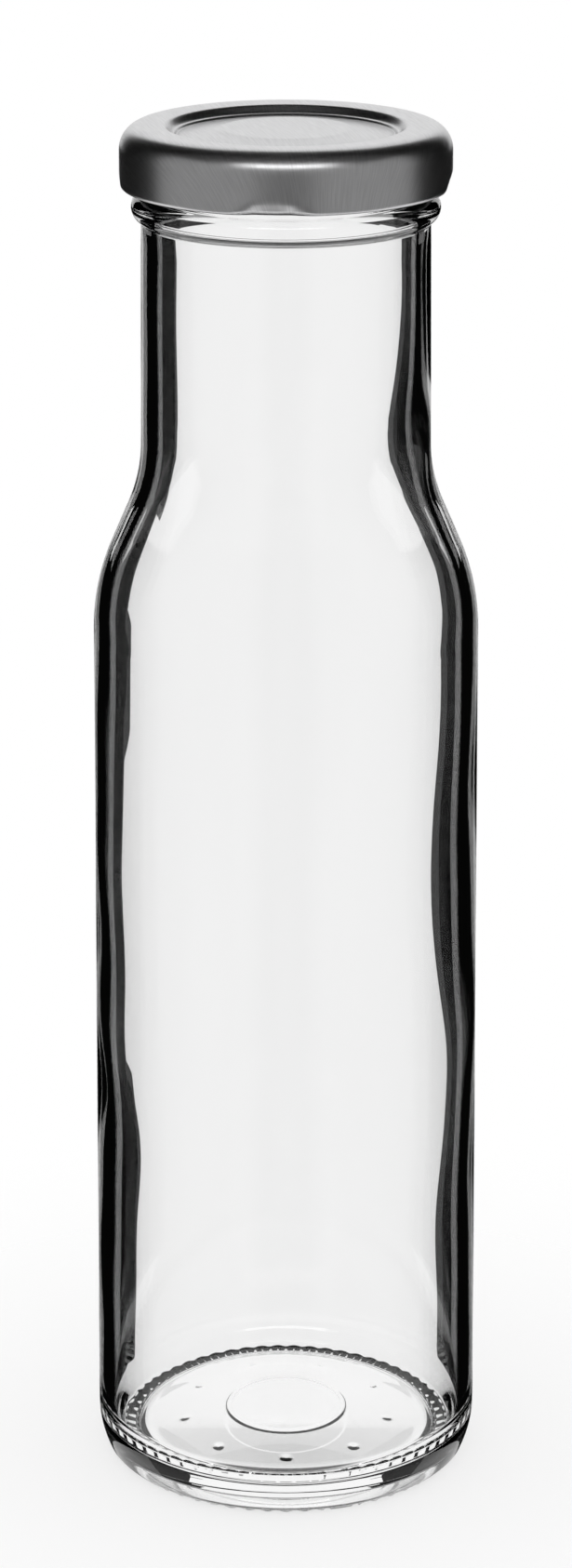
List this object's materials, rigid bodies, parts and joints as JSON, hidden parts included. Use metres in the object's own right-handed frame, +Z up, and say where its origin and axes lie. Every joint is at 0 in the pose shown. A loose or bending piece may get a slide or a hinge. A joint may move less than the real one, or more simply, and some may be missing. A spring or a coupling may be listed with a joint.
{
  "type": "glass sauce bottle",
  "caption": "Empty clear-glass sauce bottle with a straight body, a sloped shoulder, a wide neck and a silver twist-off metal cap, standing on a knurled ring.",
  "frame": {"origin": "on the bottle's axis, in the plane that its base ring stands on", "axes": "+Z up along the bottle's axis, the side that faces the main view towards -Y, +X to that view's right"},
  "size_m": [0.0542, 0.0542, 0.1926],
  "materials": {
    "glass": "clear flint soda-lime glass, smooth",
    "tinplate": "clear-lacquered tinplate, satin with a fine rolled grain"
  },
  "bodies": {
    "root": {"bottle": "glass", "cap": "tinplate"}
  },
  "joints": []
}
